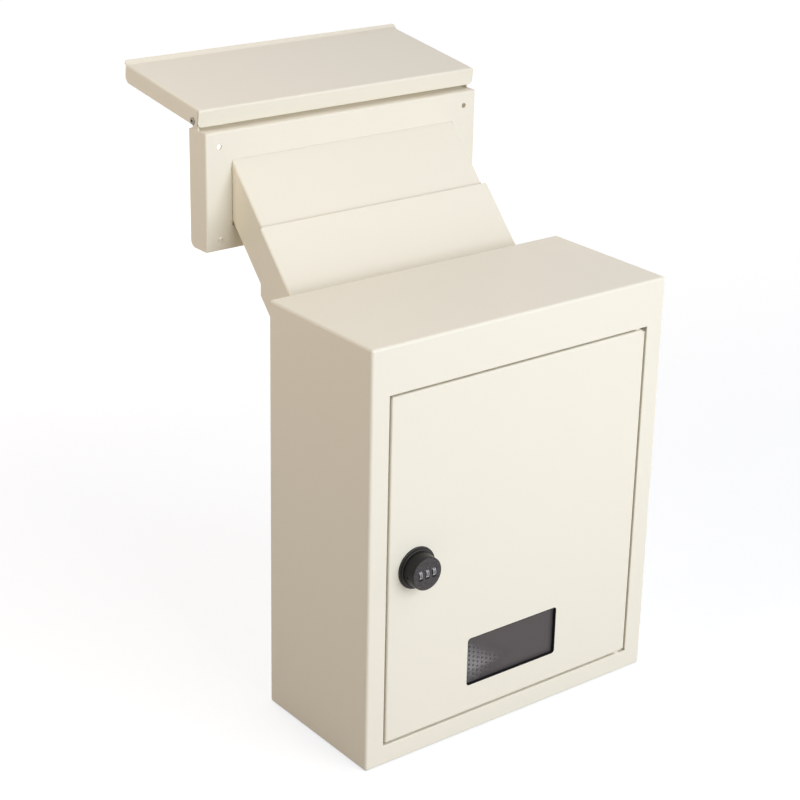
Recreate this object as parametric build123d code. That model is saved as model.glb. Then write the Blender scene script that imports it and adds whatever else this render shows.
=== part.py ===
from build123d import *

import math
import os

# Through-wall drop box: a locking sheet-steel box on the room side of a wall, a two-part chute that
# telescopes through the wall, and a shallow outdoor pan with a drop lid.
# Millimetres. X runs right as seen from the room, Y runs from the room to the outdoors, Z is up.
# The origin is the centre of the four wall holes, on the plane of the box's back.
# At rest the door is shut with its cam turned clear, and the lid is held open.

# Sheet metal
sheet = 1.2
chute_sheet = 1.0
lid_sheet = 1.0
seam_gap = 0.5
panel_inset = 0.6
moving_gap = 0.3

# Indoor box
box_width = 254.0
box_height = 305.0
box_depth = 114.0
box_bend = 2.0
rear_flange = 12.0
pattern_height = 125.0
wall_hole_radius = 4.0
wall_hole_pitch_x = 180.0
wall_hole_pitch_z = 130.0

# Front frame and door
frame_side = 15.0
frame_bottom = 15.0
frame_top = 34.0
frame_edge_bend = 0.8
door_gap = 1.5
door_flange = 12.0
door_bend = 1.5
door_stop_gap = 0.5
stop_ledge = 6.0
stop_end_setback = 10.0
corner_relief_radius = 0.9
hinge_notch_width = 2.6
hinge_notch_height = 1.4

# Door hinge pins
hinge_inset = 6.0
hinge_setback = 3.9
hinge_pin_radius = 1.5
hinge_pin_reach = 4.0
hinge_collar_radius = 3.0
hinge_head_radius = 2.6
hinge_head_height = 1.0
pin_clearance = 0.05

# Window in the door
window_width = 80.0
window_height = 36.0
window_sill = 37.5
window_corner = 2.0
gasket_wall = 0.5
gasket_flange = 1.3
pane_thickness = 2.0
pane_margin = 5.0
screen_thickness = 0.8
screen_hole_radius = 1.2
screen_pitch_x = 3.9
screen_pitch_z = 3.5
retainer_lap = 8.0
retainer_reveal = 1.0
stud_radius = 1.5
stud_length = 9.0
stud_offset = 4.0
stud_spread = 28.0
stud_hole_clearance = 0.2
stud_nut_flats = 5.5
stud_nut_height = 2.4

# Combination cam lock
lock_inset = 23.0
lock_height = 143.3
rosette_radius = 15.0
rosette_thickness = 1.2
rosette_step_radius = 13.6
rosette_step = 1.0
rosette_chamfer = 0.4
barrel_radius = 9.5
barrel_flat = 8.2
barrel_length = 14.4
barrel_clearance = 0.15
spindle_radius = 7.0
lock_washer_radius = 12.5
lock_washer_thickness = 1.0
lock_nut_flats = 24.0
lock_nut_height = 4.0
knob_radius = 12.3
knob_face_radius = 11.8
knob_height = 9.5
knob_edge = 0.5
knob_face_wall = 1.2
knob_side_wall = 1.2
dial_radius = 4.6
dial_width = 2.4
dial_pitch = 5.55
dial_proud = 0.9
dial_digits = 10
dial_notch = 0.45
dial_slot_clearance = 0.4
axle_radius = 1.0
axle_seat = 1.4
pocket_side_gap = 1.8
spring_thickness = 0.3
spring_gap = 0.6
spring_finger_width = 1.6
spring_root_width = 3.2
backplate_thickness = 0.8
backplate_lap = 0.4
reset_hole_radius = 0.8
reset_pin_length = 2.2
reset_recess = 1.2
reset_drop = 1.8
reset_depth = 5.7
cam_reach = 26.0
cam_width = 14.0
cam_thickness = 2.0
cam_square = 7.0
cam_clearance = 0.05
cam_bolt_radius = 1.9
cam_bolt_length = 8.0
cam_bolt_flats = 8.0
cam_bolt_head = 2.8

# Chute sleeves
chute_angle = 47.0
chute_side_margin = 26.5
chute_top_margin = 21.5
lower_rise = 50.5
lower_end = 50.0
upper_side_gap = 2.75
upper_top_gap = 3.4
upper_bottom_gap = 2.4
upper_start = 4.0
sleeve_bend = 1.6
lower_flange = 9.0
upper_flange = 5.0
chute_hole_clearance = 0.3
chute_hole_slack = 2.4

# Outdoor pan
wall_distance = 88.8
pan_side_margin = 21.25
pan_sill = 19.2
pan_height = 85.3
pan_depth = 21.2
pan_bend = 1.6
pan_corner = 5.0
pan_hole_radius = 1.9
pan_hole_inset_x = 11.0
pan_hole_inset_z = 7.75
pan_hole_pitch_z = 67.0

# Drop lid, in its own flat frame with the hinge axis at y = 0, z = 0
lid_side_gap = 0.7
lid_overhang = 12.7
lid_flange = 12.6
lid_bend = 1.6
lid_back = 6.6
lid_rise = 9.6
lid_lip = 3.6
lid_lip_angle = 32.0
lid_corner = 5.0
lid_end_round = 3.5
lid_open_tilt = 7.7
lid_pin_inset = 8.1
lid_pin_height = 6.8
lid_pin_radius = 1.75
lid_pin_head_radius = 2.4
lid_pin_head_height = 0.8
lid_pin_bore = 1.1
lid_pin_bore_depth = 3.0
ear_radius = 3.4

# Levels that follow from the sizes above, all from the origin
floor_z = -pattern_height
front_y = -box_depth
rear_y = -sheet
frame_left = -box_width / 2 + frame_side
frame_right = box_width / 2 - frame_side
frame_low = floor_z + frame_bottom
frame_high = floor_z + box_height - frame_top
door_left = frame_left + door_gap
door_right = frame_right - door_gap
door_low = frame_low + door_gap
door_high = frame_high - door_gap
door_inner_y = front_y + sheet
ledge_y = front_y + door_flange + door_stop_gap
hinge_x = door_right - hinge_inset
hinge_y = front_y + hinge_setback
window_x = 0.0
window_z = floor_z + window_sill + window_height / 2
pane_y = door_inner_y + gasket_flange
screen_y = pane_y + pane_thickness
retainer_y = screen_y + screen_thickness
stud_nut_y = retainer_y + sheet
lock_x = door_left + lock_inset
lock_z = floor_z + lock_height
rosette_y = front_y - rosette_thickness - rosette_step
knob_rear_y = rosette_y - moving_gap
knob_face_y = knob_rear_y - knob_height
dial_y = knob_face_y - dial_proud + dial_radius
barrel_end_y = front_y + barrel_length
cam_y = barrel_end_y + moving_gap
pocket_half_x = dial_pitch + dial_width / 2 + pocket_side_gap
pocket_half_z = dial_radius + spring_gap + spring_thickness
chute_slope = math.tan(math.radians(chute_angle))
lower_width = box_width - 2 * chute_side_margin
lower_top_z = floor_z + box_height - chute_top_margin
lower_bottom_z = lower_top_z - lower_rise
upper_width = lower_width - 2 * upper_side_gap
upper_top_z = lower_top_z - upper_top_gap
upper_bottom_z = lower_bottom_z + upper_bottom_gap
pan_y = wall_distance
upper_flange_y = pan_y + sheet
pan_width = upper_width + 2 * pan_side_margin
pan_low = upper_bottom_z + chute_slope * pan_y - pan_sill
pan_high = pan_low + pan_height
pan_hole_pitch_x = pan_width - 2 * pan_hole_inset_x
pan_hole_mid_z = pan_low + pan_hole_inset_z + pan_hole_pitch_z / 2
lid_width = pan_width + 2 * (lid_side_gap + lid_sheet)
lid_length = pan_height + lid_overhang
lid_y = pan_y + pan_depth - lid_pin_inset
lid_z = pan_high + lid_pin_height
through = 1.0
sleeve_overrun = 10.0


def block(x0, x1, y0, y1, z0, z1):
    """A box between two corners."""
    centre = Pos((x0 + x1) / 2, (y0 + y1) / 2, (z0 + z1) / 2)
    return centre * Box(abs(x1 - x0), abs(y1 - y0), abs(z1 - z0))


def bar_y(radius, x, z, y0, y1):
    """A round bar along Y."""
    return Pos(x, (y0 + y1) / 2, z) * Rot(90, 0, 0) * Cylinder(radius, abs(y1 - y0))


def bar_x(radius, y, z, x0, x1):
    """A round bar along X."""
    return Pos((x0 + x1) / 2, y, z) * Rot(0, 90, 0) * Cylinder(radius, abs(x1 - x0))


def bar_z(radius, x, y, z0, z1):
    """A round bar along Z."""
    return Pos(x, y, (z0 + z1) / 2) * Cylinder(radius, abs(z1 - z0))


def prism_y(outline, x, z, y0, y1):
    """A flat outline, drawn with X across and Z up, carried along Y from y0 to y1."""
    plane = Plane(origin=(x, y0, z), x_dir=(1, 0, 0), z_dir=(0, -1, 0))
    return extrude(plane * outline, amount=y0 - y1)


def hexagon(flats):
    """A hexagon by its width across flats."""
    return RegularPolygon(radius=flats / 2, side_count=6, major_radius=False)


def hex_nut(flats, bore, x, z, y0, y1):
    """A hex nut along Y, with its thread as a plain bore."""
    return prism_y(hexagon(flats) - Circle(bore), x, z, y0, y1)


def edges_on(solid, axis, value):
    """The edges that lie in the plane axis = value."""
    return [
        edge
        for edge in solid.edges()
        if all(abs(getattr(corner, axis) - value) < 1e-4 for corner in (edge @ 0, edge @ 0.5, edge @ 1))
    ]


def edges_along(solid, direction):
    """The straight edges that run along a direction."""
    return [
        edge
        for edge in solid.edges().filter_by(GeomType.LINE)
        if abs(abs((edge % 0.5).dot(direction)) - 1) < 1e-6
    ]


def folded_pan(x0, x1, y0, y1, z0, z1, thickness, bend):
    """A tray of folded sheet: its face lies at y0 and its four flanges run to y1."""
    outer = block(x0, x1, y0, y1, z0, z1)
    outer = fillet(edges_on(outer, "Y", y0), bend)
    face_y = y0 + thickness
    inner = block(x0 + thickness, x1 - thickness, face_y, y1 + through, z0 + thickness, z1 - thickness)
    inner = fillet(edges_on(inner, "Y", face_y), bend - thickness)
    return outer - inner


def corner_seams(x0, x1, y0, y1, z0, z1, thickness):
    """The open seams at a tray's corners, where the upper and lower flanges end beside the side flanges."""
    cuts = []
    for low, high in ((z0 - through, z0 + thickness), (z1 - thickness, z1 + through)):
        cuts.append(block(x0 + thickness, x0 + thickness + seam_gap, y0, y1 + through, low, high))
        cuts.append(block(x1 - thickness - seam_gap, x1 - thickness, y0, y1 + through, low, high))
    return cuts


def frame_lips():
    """The return lips around the door opening, and the ledge on three sides that stops the door."""
    lip_end = ledge_y + sheet
    lips = block(
        frame_left - sheet,
        frame_right + sheet,
        front_y + sheet / 2,
        lip_end,
        frame_low - sheet,
        frame_high + sheet,
    )
    opening = block(frame_left, frame_right, front_y - through, ledge_y, frame_low, frame_high)
    ledge_right = hinge_x - stop_end_setback
    behind = block(
        frame_left + stop_ledge,
        ledge_right,
        front_y,
        lip_end + through,
        frame_low + stop_ledge,
        frame_high - stop_ledge,
    )
    swing = block(ledge_right, frame_right, front_y, lip_end + through, frame_low, frame_high)
    return lips - opening - behind - swing


def box_shell():
    """Front frame, sides, top and bottom folded from one sheet, with rear flanges for the back panel."""
    left, right = -box_width / 2, box_width / 2
    top_z = floor_z + box_height
    outer = block(left, right, front_y, rear_y, floor_z, top_z)
    outer = fillet(edges_on(outer, "Y", front_y) + edges_along(outer, Vector(0, 1, 0)), box_bend)
    inner = block(
        left + sheet,
        right - sheet,
        front_y + sheet,
        rear_y - sheet,
        floor_z + sheet,
        top_z - sheet,
    )
    inner = fillet(edges_along(inner, Vector(0, 1, 0)), box_bend - sheet)
    rear = block(
        left + rear_flange,
        right - rear_flange,
        rear_y - sheet - through,
        through,
        floor_z + rear_flange,
        top_z - rear_flange,
    )
    opening = block(frame_left, frame_right, front_y - through, ledge_y, frame_low, frame_high)
    shell = outer - inner - rear - opening + frame_lips()
    shell = fillet([e for e in edges_on(shell, "Y", front_y) if inside_frame(e)], frame_edge_bend)
    for z in (frame_low, frame_high):
        shell -= bar_z(hinge_pin_radius, hinge_x, hinge_y, z - 2 * sheet, z + 2 * sheet)
    return shell


def inside_frame(edge):
    """Whether an edge of the front face bounds the door opening."""
    middle = edge @ 0.5
    across = frame_left - sheet < middle.X < frame_right + sheet
    return across and frame_low - sheet < middle.Z < frame_high + sheet


def wall_hole_places():
    """The centres of the four wall holes in the back panel."""
    return [(x * wall_hole_pitch_x / 2, z * wall_hole_pitch_z / 2) for x in (-1, 1) for z in (-1, 1)]


def back_panel():
    """The flat back, welded over the shell's rear flanges, with its wall holes and the chute's opening."""
    half = box_width / 2 - panel_inset
    low = floor_z + panel_inset
    high = floor_z + box_height - panel_inset
    panel = block(-half, half, rear_y, 0, low, high)
    panel = fillet(edges_along(panel, Vector(0, 1, 0)), box_bend)
    for x, z in wall_hole_places():
        panel -= bar_y(wall_hole_radius, x, z, rear_y - through, through)
    reach = lower_width / 2 + chute_hole_clearance
    slot_low = lower_bottom_z + chute_slope * rear_y - chute_hole_clearance
    slot_high = lower_top_z + chute_hole_slack
    return panel - block(-reach, reach, rear_y - through, through, slot_low, slot_high)


def slanted(width, bottom_z, top_z, y0, y1):
    """A bar of the given width whose section in the YZ plane climbs at the chute's slope from y0 to y1."""
    corners = [
        (y0, bottom_z + chute_slope * y0),
        (y1, bottom_z + chute_slope * y1),
        (y1, top_z + chute_slope * y1),
        (y0, top_z + chute_slope * y0),
    ]
    side = Plane(origin=(-width / 2, 0, 0), x_dir=(0, 1, 0), z_dir=(1, 0, 0))
    return extrude(side * Polygon(*corners, align=None), amount=width)


def sleeve(width, bottom_z, top_z, y0, y1, flange_y, flange):
    """A folded chute sleeve, cut upright at both ends, with a flange around one end to weld it by."""
    climb = Vector(0, 1, chute_slope).normalized()
    upright = chute_sheet / math.cos(math.radians(chute_angle))
    outer = slanted(width, bottom_z, top_z, y0, y1)
    outer = fillet(edges_along(outer, climb), sleeve_bend)
    bore = slanted(
        width - 2 * chute_sheet, bottom_z + upright, top_z - upright, y0 - sleeve_overrun, y1 + sleeve_overrun
    )
    bore = fillet(edges_along(bore, climb), sleeve_bend - chute_sheet)
    reach = width / 2 + flange
    plate = block(
        -reach,
        reach,
        flange_y,
        flange_y + chute_sheet,
        bottom_z + chute_slope * flange_y - flange,
        top_z + chute_slope * (flange_y + chute_sheet) + flange,
    )
    return outer + plate - bore


def lower_chute():
    """The outer sleeve, welded to the inside of the back panel and passing out through it."""
    flange_y = rear_y - chute_sheet
    return sleeve(lower_width, lower_bottom_z, lower_top_z, flange_y, lower_end, flange_y, lower_flange)


def upper_chute():
    """The inner sleeve, welded inside the outdoor pan and sliding in the outer one."""
    end = upper_flange_y + chute_sheet
    return sleeve(upper_width, upper_bottom_z, upper_top_z, upper_start, end, upper_flange_y, upper_flange)


def outdoor_pan():
    """The outdoor tray: wall plate with its opening and holes, four flanges, and an ear for each lid pin."""
    half = pan_width / 2
    outer_y = pan_y + pan_depth
    pan = folded_pan(-half, half, pan_y, outer_y, pan_low, pan_high, sheet, pan_bend)
    for cut in corner_seams(-half, half, pan_y + pan_bend, outer_y, pan_low, pan_high, sheet):
        pan -= cut
    lower_ends = [e for e in edges_along(pan, Vector(1, 0, 0)) if is_outer_bottom(e)]
    pan = fillet(lower_ends, pan_corner)
    for side in (-1, 1):
        inner_x, outer_x = side * (half - sheet), side * half
        ear = block(inner_x, outer_x, lid_y - ear_radius, lid_y + ear_radius, pan_high - pan_bend, lid_z)
        ear += bar_x(ear_radius, lid_y, lid_z, inner_x, outer_x)
        pan += ear
        pan -= bar_x(lid_pin_radius, lid_y, lid_z, inner_x - side * through, outer_x + side * through)
    for x in (-pan_hole_pitch_x / 2, pan_hole_pitch_x / 2):
        for z in (-pan_hole_pitch_z / 2, pan_hole_pitch_z / 2):
            pan -= bar_y(pan_hole_radius, x, pan_hole_mid_z + z, pan_y - through, pan_y + 2 * sheet)
    return pan - pan_opening()


def pan_opening():
    """The cut in the pan's plate for the sleeve: square below, and along the sleeve's slope above."""
    reach = upper_width / 2 + chute_hole_clearance
    start, end = pan_y - through, pan_y + 2 * sheet
    cut = slanted(2 * reach, upper_bottom_z, upper_top_z + chute_hole_clearance, start, end)
    climb = Vector(0, 1, chute_slope).normalized()
    upper_edges = sorted(edges_along(cut, climb), key=lambda edge: (edge @ 0.5).Z)[-2:]
    cut = fillet(upper_edges, sleeve_bend + chute_hole_clearance)
    slot_low = upper_bottom_z + chute_slope * pan_y - chute_hole_slack
    return cut + block(-reach, reach, start, end, slot_low, upper_bottom_z + chute_slope * end)


def is_outer_bottom(edge):
    """Whether an edge is a side flange's outer bottom corner, as short as the sheet is thick."""
    middle = edge @ 0.5
    at_corner = abs(middle.Y - pan_y - pan_depth) < 1e-4 and abs(middle.Z - pan_low) < 1e-4
    return at_corner and edge.length < 2 * sheet


def drop_lid():
    """The lid, folded flat and then tipped about its hinge axis to where it is held open."""
    half = lid_width / 2
    near, far = -lid_back, lid_length - lid_back
    top, low = lid_rise, lid_rise - lid_flange
    body = block(-half, half, near, far, low, top)
    folds = [e for e in edges_on(body, "Z", top) if (e @ 0.5).Y < far - 1e-4]
    body = fillet(folds, lid_bend)
    inner_half = half - lid_sheet
    hollow_near = near + lid_sheet
    lid = body - block(-inner_half, inner_half, hollow_near, far + through, low - through, top - lid_sheet)
    for side in (-1, 1):
        inner_x = side * inner_half
        outer_x = side * (half + through)
        lid -= block(inner_x, outer_x, hollow_near, hollow_near + seam_gap, low, top - lid_bend)
    ends = [e for e in edges_along(lid, Vector(1, 0, 0)) if abs((e @ 0.5).Z - low) < 1e-4]
    ends = [e for e in ends if abs((e @ 0.5).Y - far) < 1e-4]
    lid = fillet(ends, lid_corner)
    low_corners = [e for e in edges_along(lid, Vector(0, 1, 0)) if is_near_corner(e, half, near, low)]
    lid = fillet(low_corners, lid_end_round)
    lid += finger_lip(far, top)
    pin_hole = lid_pin_radius + pin_clearance
    for side in (-1, 1):
        lid -= bar_x(pin_hole, 0, 0, side * (half - 2 * lid_sheet), side * (half + through))
    return Pos(0, lid_y, lid_z) * Rot(lid_open_tilt, 0, 0) * lid


def is_near_corner(edge, half, near, low):
    """Whether an edge is an outer lower corner of the lid's hinge-side flange, in the lid's flat frame."""
    middle = edge @ 0.5
    at_corner = abs(abs(middle.X) - half) < 1e-4 and abs(middle.Z - low) < 1e-4
    return at_corner and middle.Y < near + lid_sheet


def finger_lip(far, top):
    """The strip along the lid's free edge, turned outwards as a grip, with rounded ends."""
    half = lid_width / 2
    reach = lid_lip + lid_sheet
    root = far - lid_sheet
    blank = Rectangle(lid_width, 2 * reach)
    blank = fillet(blank.vertices(), lid_lip / 2)
    strip = Pos(0, 0, -lid_sheet) * extrude(blank, amount=lid_sheet)
    strip -= block(-lid_width, lid_width, -2 * reach, 0, -reach, reach)
    strip = Pos(0, root, top) * Rot(lid_lip_angle, 0, 0) * strip
    knee = bar_x(lid_sheet, root, top, lid_bend - half, half - lid_bend)
    knee_end = root + lid_sheet * math.sin(math.radians(lid_lip_angle))
    return strip + (knee & block(-half, half, root, knee_end, top - lid_sheet, top))


def lid_hinge_pins():
    """The two lid pins: hollow rivets, each fast in an ear, with a small head outside the lid's flange."""
    pins = []
    for side in (-1, 1):
        inner = side * (pan_width / 2 - 2 * sheet)
        head = side * (lid_width / 2 + moving_gap)
        end = head + side * lid_pin_head_height
        pin = bar_x(lid_pin_radius, lid_y, lid_z, inner, head)
        pin += bar_x(lid_pin_head_radius, lid_y, lid_z, head, end)
        pin -= bar_x(lid_pin_bore, lid_y, lid_z, end - side * lid_pin_bore_depth, end + side * through)
        pins.append(pin)
    return pins


def door_panel():
    """The door: a folded tray with the window, the lock hole, hinge holes and relieved corners."""
    flange_end = front_y + door_flange
    before = front_y - through
    behind = flange_end + through
    panel = folded_pan(door_left, door_right, front_y, flange_end, door_low, door_high, sheet, door_bend)
    seam_start = front_y + door_bend
    for cut in corner_seams(door_left, door_right, seam_start, flange_end, door_low, door_high, sheet):
        panel -= cut
    notch_left = door_right - hinge_notch_width
    for z in (door_low, door_high):
        inward = hinge_notch_height if z == door_low else -hinge_notch_height
        panel -= bar_y(corner_relief_radius, door_left, z, before, behind)
        panel -= block(notch_left, door_right + through, before, behind, z, z + inward)
        panel -= bar_z(hinge_pin_radius + pin_clearance, hinge_x, hinge_y, z - 2 * sheet, z + 2 * sheet)
    panel -= prism_y(window_outline(gasket_wall), window_x, window_z, before, door_inner_y + through)
    hole = barrel_section(barrel_clearance)
    return panel - prism_y(hole, lock_x, lock_z, before, door_inner_y + through)


def door_hinge_pins():
    """The two door pins, each fast in a frame lip, with a collar that spaces the door."""
    pins = []
    for frame_z, door_z in ((frame_low, door_low), (frame_high, door_high)):
        inward = 1 if door_z > frame_z else -1
        outer = frame_z - inward * sheet
        pin = bar_z(hinge_pin_radius, hinge_x, hinge_y, outer, door_z + inward * hinge_pin_reach)
        collar_end = door_z - inward * moving_gap
        pin += bar_z(hinge_collar_radius, hinge_x, hinge_y, frame_z, collar_end)
        pin += bar_z(hinge_head_radius, hinge_x, hinge_y, outer, outer - inward * hinge_head_height)
        pins.append(pin)
    return pins


def window_outline(margin):
    """The window's outline, grown by a margin all round."""
    return RectangleRounded(window_width + 2 * margin, window_height + 2 * margin, window_corner + margin)


def window_gasket():
    """The black seal: a thin wall that lines the cut-out and a flange between the door and the pane."""
    wall = prism_y(window_outline(gasket_wall), window_x, window_z, front_y, door_inner_y)
    flange = prism_y(pane_outline(), window_x, window_z, door_inner_y, pane_y)
    bore = prism_y(window_outline(0), window_x, window_z, front_y - through, pane_y + through)
    return wall + flange - bore


def pane_outline():
    """The outline that the pane, its screen and the seal's flange share."""
    return RectangleRounded(window_width + 2 * pane_margin, window_height + 2 * pane_margin, window_corner)


def window_pane():
    """The smoked pane behind the window."""
    return prism_y(pane_outline(), window_x, window_z, pane_y, screen_y)


def window_screen():
    """The perforated sheet behind the pane, with staggered four-sided holes across the window."""
    columns = int(window_width / 2 / screen_pitch_x)
    rows = int(window_height / 2 / screen_pitch_z)
    hole = RegularPolygon(radius=screen_hole_radius, side_count=4)
    places = []
    for column in range(-columns, columns + 1):
        shift = screen_pitch_z / 2 if column % 2 else 0
        last = rows if column % 2 else rows + 1
        places += [(column * screen_pitch_x, shift + row * screen_pitch_z) for row in range(-rows, last)]
    holes = [Pos(x, z) * hole for x, z in places]
    return prism_y(pane_outline() - holes, window_x, window_z, screen_y, retainer_y)


def stud_places():
    """The centres of the four studs beside the pane."""
    reach = window_width / 2 + pane_margin + stud_offset
    return [(window_x + x * reach, window_z + z * stud_spread / 2) for x in (-1, 1) for z in (-1, 1)]


def window_retainer():
    """The frame that clamps the pane and its screen to the door."""
    width = window_width + 2 * (pane_margin + retainer_lap)
    height = window_height + 2 * pane_margin
    outline = RectangleRounded(width, height, window_corner) - window_outline(retainer_reveal)
    plate = prism_y(outline, window_x, window_z, retainer_y, stud_nut_y)
    for x, z in stud_places():
        plate -= bar_y(stud_radius + stud_hole_clearance, x, z, retainer_y - through, stud_nut_y + through)
    return plate


def window_studs():
    """The four studs welded to the inside of the door."""
    return [bar_y(stud_radius, x, z, door_inner_y, door_inner_y + stud_length) for x, z in stud_places()]


def window_nuts():
    """The four nuts on the studs."""
    nuts = []
    for x, z in stud_places():
        nuts.append(hex_nut(stud_nut_flats, stud_radius, x, z, stud_nut_y, stud_nut_y + stud_nut_height))
    return nuts


def barrel_section(clearance):
    """The lock barrel's round section with a flat each side, grown by a clearance."""
    radius = barrel_radius + clearance
    return Circle(radius) & Rectangle(2 * (barrel_flat + clearance), 2 * radius)


def lock_housing():
    """The fixed part of the lock: a stepped rosette on the door and a flatted barrel through it."""
    rim_y = front_y - rosette_thickness
    rosette = bar_y(rosette_radius, lock_x, lock_z, rim_y, front_y)
    rosette = chamfer(edges_on(rosette, "Y", rim_y), rosette_chamfer)
    step = bar_y(rosette_step_radius, lock_x, lock_z, rosette_y, rim_y)
    step = chamfer(edges_on(step, "Y", rosette_y), rosette_chamfer)
    barrel = prism_y(barrel_section(0), lock_x, lock_z, front_y, barrel_end_y)
    bore = bar_y(spindle_radius + pin_clearance, lock_x, lock_z, rosette_y - through, barrel_end_y + through)
    return rosette + step + barrel - bore


def lock_washer():
    """The flat washer between the door and the lock nut."""
    outline = Circle(lock_washer_radius) - barrel_section(barrel_clearance)
    return prism_y(outline, lock_x, lock_z, door_inner_y, door_inner_y + lock_washer_thickness)


def lock_nut():
    """The large hex nut that holds the lock in the door."""
    start = door_inner_y + lock_washer_thickness
    return hex_nut(lock_nut_flats, barrel_radius, lock_x, lock_z, start, start + lock_nut_height)


def dial_places():
    """The X of each dial, left to right."""
    return [lock_x + step * dial_pitch for step in (-1, 0, 1)]


def lock_knob():
    """The turning knob: a tapered drum with a pocket for the dials, three slots and the reset hole."""
    taper = Plane(origin=(lock_x, knob_rear_y, lock_z), x_dir=(1, 0, 0), z_dir=(0, -1, 0))
    face = taper.offset(knob_height)
    drum = loft([taper * Circle(knob_radius), face * Circle(knob_face_radius)])
    drum = chamfer(edges_on(drum, "Y", knob_face_y), knob_edge)
    pocket_face = knob_face_y + knob_face_wall
    pocket = block(
        lock_x - pocket_half_x,
        lock_x + pocket_half_x,
        pocket_face,
        knob_rear_y + through,
        lock_z - pocket_half_z,
        lock_z + pocket_half_z,
    )
    drum -= pocket
    seat_y = knob_rear_y - backplate_thickness
    drum -= bar_y(backplate_radius(), lock_x, lock_z, seat_y, knob_rear_y + through)
    half_slot = dial_width / 2 + dial_slot_clearance
    for x in dial_places():
        drum -= bar_x(dial_radius + dial_slot_clearance, dial_y, lock_z, x - half_slot, x + half_slot)
    seat = pocket_half_x + axle_seat
    drum -= bar_x(axle_radius, dial_y, lock_z, lock_x - seat, lock_x + seat)
    outside = lock_x - knob_radius - through
    reset_y = knob_face_y + reset_depth
    reset_z = lock_z - reset_drop
    return drum - bar_x(reset_hole_radius, reset_y, reset_z, outside, lock_x - pocket_half_x)


def backplate_radius():
    """The radius of the spindle's plate, which closes the knob's pocket."""
    return knob_radius - backplate_lap - knob_side_wall


def lock_spindle():
    """The plate behind the dials with the shaft that runs through the barrel and drives the cam."""
    plate = bar_y(backplate_radius(), lock_x, lock_z, knob_rear_y - backplate_thickness, knob_rear_y)
    shaft = bar_y(spindle_radius, lock_x, lock_z, knob_rear_y, cam_y)
    square = Rectangle(cam_square, cam_square)
    shaft += prism_y(square, lock_x, lock_z, cam_y, cam_y + cam_thickness)
    tip = cam_y + cam_thickness
    return plate + shaft - bar_y(cam_bolt_radius, lock_x, lock_z, tip - cam_bolt_length, tip + through)


def dial(x):
    """One ten-sided number dial on its axle, notched between the numbers."""
    wheel = RegularPolygon(radius=dial_radius, side_count=dial_digits)
    step = 360 / dial_digits
    notch = Pos(dial_radius, 0) * RegularPolygon(radius=dial_notch, side_count=4)
    notches = [Rot(0, 0, step * digit) * notch for digit in range(dial_digits)]
    section = wheel - notches - Circle(axle_radius + pin_clearance)
    side = Plane(origin=(x - dial_width / 2, dial_y, lock_z), x_dir=(0, 1, 0), z_dir=(1, 0, 0))
    return extrude(side * Rot(0, 0, step / 2) * section, amount=dial_width)


def dial_axle():
    """The axle that carries the three dials, seated in the knob's side walls."""
    seat = pocket_half_x + axle_seat
    return bar_x(axle_radius, dial_y, lock_z, lock_x - seat, lock_x + seat)


def detent_spring():
    """The leaf spring under the dials, with one finger for each."""
    low = lock_z - pocket_half_z
    high = low + spring_thickness
    rear = knob_rear_y - backplate_thickness
    front = knob_face_y + knob_face_wall
    left = lock_x - pocket_half_x
    right = lock_x + pocket_half_x
    half_finger = spring_finger_width / 2
    spring = block(left, right, rear - spring_root_width, rear, low, high)
    for x in dial_places():
        spring += block(x - half_finger, x + half_finger, front, rear, low, high)
    return spring


def reset_pin():
    """The small pin in the knob's side that is pushed to set a new code."""
    start = lock_x - knob_radius + reset_recess
    y = knob_face_y + reset_depth
    return bar_x(reset_hole_radius - pin_clearance, y, lock_z - reset_drop, start, start + reset_pin_length)


def lock_cam():
    """The flat cam, shown hanging clear of the frame, with a square hole for the spindle."""
    length = cam_reach - cam_width / 2
    hole = cam_square + 2 * cam_clearance
    outline = Circle(cam_width / 2) + Pos(0, -length) * Circle(cam_width / 2)
    outline += Pos(0, -length / 2) * Rectangle(cam_width, length)
    return prism_y(outline - Rectangle(hole, hole), lock_x, lock_z, cam_y, cam_y + cam_thickness)


def cam_bolt():
    """The hex bolt that holds the cam on the spindle."""
    face = cam_y + cam_thickness
    head = prism_y(hexagon(cam_bolt_flats), lock_x, lock_z, face, face + cam_bolt_head)
    return head + bar_y(cam_bolt_radius, lock_x, lock_z, face - cam_bolt_length, face)


def save(name, shape):
    """Writes one node. A list becomes a group of separate solids."""
    made = Compound(children=list(shape)) if isinstance(shape, list) else shape
    export_step(made, os.path.join("parts", name + ".step"))


def main():
    """Builds every node and writes it under its name."""
    os.makedirs("parts", exist_ok=True)
    left_x, middle_x, right_x = dial_places()
    save("box_shell", box_shell())
    save("back_panel", back_panel())
    save("lower_chute", lower_chute())
    save("upper_chute", upper_chute())
    save("outdoor_pan", outdoor_pan())
    save("drop_lid", drop_lid())
    save("lid_hinge_pins", lid_hinge_pins())
    save("door_panel", door_panel())
    save("door_hinge_pins", door_hinge_pins())
    save("window_gasket", window_gasket())
    save("window_pane", window_pane())
    save("window_screen", window_screen())
    save("window_retainer", window_retainer())
    save("window_studs", window_studs())
    save("window_nuts", window_nuts())
    save("lock_housing", lock_housing())
    save("lock_washer", lock_washer())
    save("lock_nut", lock_nut())
    save("lock_knob", lock_knob())
    save("lock_spindle", lock_spindle())
    save("dial_left", dial(left_x))
    save("dial_middle", dial(middle_x))
    save("dial_right", dial(right_x))
    save("dial_axle", dial_axle())
    save("detent_spring", detent_spring())
    save("reset_pin", reset_pin())
    save("lock_cam", lock_cam())
    save("cam_bolt", cam_bolt())


if __name__ == "__main__":
    main()
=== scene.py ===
import logging
import math
from dataclasses import dataclass
from enum import Enum
from functools import cached_property

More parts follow.
